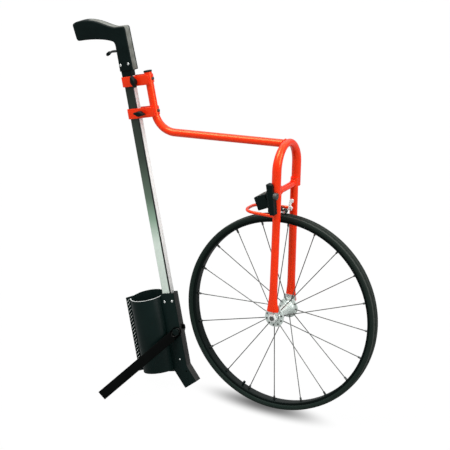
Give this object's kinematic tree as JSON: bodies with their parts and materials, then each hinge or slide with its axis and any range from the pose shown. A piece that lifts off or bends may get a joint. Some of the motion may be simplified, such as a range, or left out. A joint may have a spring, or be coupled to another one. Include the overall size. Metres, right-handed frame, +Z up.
{
  "type": "measuring wheel",
  "caption": "Spoked measuring wheel on a red tubular fork with a counter, clamped to a marking staff with pistol grip, trigger, can holder and side leg.",
  "frame": {"origin": "on the ground, under the middle of the whole object's box", "axes": "+Z up; +X forward, from the staff to the wheel, square to the axle; +Y along the axle, away from the side leg and the counter's drive"},
  "size_m": [0.678, 0.2094, 0.7192],
  "materials": {
    "tyre_rubber": "matt black rubber with a green cast",
    "roller_rubber": "matt black rubber",
    "rim_paint": "dark green-black paint",
    "zinc_plate": "bright zinc plate",
    "spoke_steel": "drawn steel",
    "red_paint": "gloss vermilion paint",
    "black_plastic": "moulded black plastic",
    "drum_white": "white number drum",
    "holder_plastic": "black plastic sheet with a soft sheen",
    "black_steel": "satin black paint",
    "staff_aluminium": "plain drawn aluminium"
  },
  "bodies": {
    "frame": {"fork_blade_near": "red_paint", "fork_blade_far": "red_paint", "fork_hoop": "red_paint", "fork_crossbar": "red_paint", "counter_guard": "red_paint", "dropout_near": "zinc_plate", "dropout_far": "zinc_plate", "axle": "spoke_steel", "axle_nut_near": "zinc_plate", "axle_nut_far": "zinc_plate", "bearing_near": "spoke_steel", "bearing_far": "spoke_steel", "gear_case": "black_plastic", "roller_stay": "zinc_plate", "counter_housing": "black_plastic", "arm_tube": "red_paint", "arm_cap": "black_plastic", "clamp_strap_lower": "red_paint", "clamp_strap_upper": "red_paint", "staff_tube": "staff_aluminium", "grip_near": "black_plastic", "grip_far": "black_plastic", "staff_bracket": "black_steel", "can_holder": "holder_plastic", "leg_bolt": "black_steel"},
    "wheel": {"tyre": "tyre_rubber", "rim": "rim_paint", "hub_shell": "zinc_plate", "valve_stem": "black_plastic", "spoke_01": "spoke_steel", "spoke_02": "spoke_steel", "spoke_03": "spoke_steel", "spoke_04": "spoke_steel", "spoke_05": "spoke_steel", "spoke_06": "spoke_steel", "spoke_07": "spoke_steel", "spoke_08": "spoke_steel", "spoke_09": "spoke_steel", "spoke_10": "spoke_steel", "spoke_11": "spoke_steel", "spoke_12": "spoke_steel", "spoke_13": "spoke_steel", "spoke_14": "spoke_steel", "spoke_15": "spoke_steel", "spoke_16": "spoke_steel", "spoke_17": "spoke_steel", "spoke_18": "spoke_steel", "spoke_19": "spoke_steel", "spoke_20": "spoke_steel"},
    "roller": {"drive_roller": "roller_rubber"},
    "drum_units": {"number_drum_units": "drum_white"},
    "drum_tens": {"number_drum_tens": "drum_white"},
    "drum_hundreds": {"number_drum_hundreds": "drum_white"},
    "reset": {"reset_knob": "black_plastic"},
    "knob_lower": {"clamp_knob_lower": "black_plastic"},
    "knob_upper": {"clamp_knob_upper": "black_plastic"},
    "trigger": {"trigger": "zinc_plate"},
    "rod": {"pull_rod": "spoke_steel"},
    "lever": {"nozzle_lever": "black_steel"},
    "leg": {"side_leg": "black_steel"}
  },
  "joints": [
    {"name": "wheel_spin", "type": "hinge", "parent": "frame", "child": "wheel", "pos_m": [0.14002, 0.04969, 0.199], "axis": [0, 1, 0], "continuous": true},
    {"name": "roller_spin", "type": "hinge", "parent": "frame", "child": "roller", "pos_m": [0.13367, 0.04969, 0.4032], "axis": [0, 1, 0], "continuous": true},
    {"name": "drum_units_spin", "type": "hinge", "parent": "frame", "child": "drum_units", "pos_m": [0.0986, 0.04969, 0.42449], "axis": [0, 1, 0], "continuous": true},
    {"name": "drum_tens_spin", "type": "hinge", "parent": "frame", "child": "drum_tens", "pos_m": [0.0986, 0.04969, 0.42449], "axis": [0, 1, 0], "continuous": true},
    {"name": "drum_hundreds_spin", "type": "hinge", "parent": "frame", "child": "drum_hundreds", "pos_m": [0.0986, 0.04969, 0.42449], "axis": [0, 1, 0], "continuous": true},
    {"name": "reset_turn", "type": "hinge", "parent": "frame", "child": "reset", "pos_m": [0.0986, 0.04969, 0.42449], "axis": [0, 1, 0], "range_deg": [0, 360]},
    {"name": "knob_lower_turn", "type": "hinge", "parent": "frame", "child": "knob_lower", "pos_m": [-0.18005, 0.04969, 0.55173], "axis": [0, 1, 0], "range_deg": [0, 360]},
    {"name": "knob_upper_turn", "type": "hinge", "parent": "frame", "child": "knob_upper", "pos_m": [-0.19564, 0.04969, 0.6138], "axis": [0, 1, 0], "range_deg": [0, 360]},
    {"name": "trigger_squeeze", "type": "hinge", "parent": "frame", "child": "trigger", "pos_m": [-0.22495, 0.04969, 0.66934], "axis": [0, 1, 0], "range_deg": [0, 10], "stiffness_Nm_per_rad": 0.8, "springref_deg": -8.59},
    {"name": "rod_lift", "type": "slide", "parent": "frame", "child": "rod", "axis": [-0.2436, 0, 0.9699], "range_m": [0, 0.0014]},
    {"name": "lever_lift", "type": "hinge", "parent": "frame", "child": "lever", "pos_m": [-0.0553, 0.04969, 0.0366], "axis": [0, 1, 0], "range_deg": [0, 4.3]},
    {"name": "leg_fold", "type": "hinge", "parent": "frame", "child": "leg", "pos_m": [-0.07964, 0.04969, 0.1171], "axis": [0, 1, 0], "range_deg": [0, 110]}
  ],
  "couplings": [
    {"joint": "roller_spin", "follows": "wheel_spin", "ratio": -39.8},
    {"joint": "drum_units_spin", "follows": "wheel_spin", "ratio": 1.25},
    {"joint": "drum_tens_spin", "follows": "wheel_spin", "ratio": 0.125},
    {"joint": "drum_hundreds_spin", "follows": "wheel_spin", "ratio": 0.0125},
    {"joint": "rod_lift", "follows": "trigger_squeeze", "m_per_rad": 0.0076},
    {"joint": "lever_lift", "follows": "trigger_squeeze", "ratio": 0.42222}
  ]
}
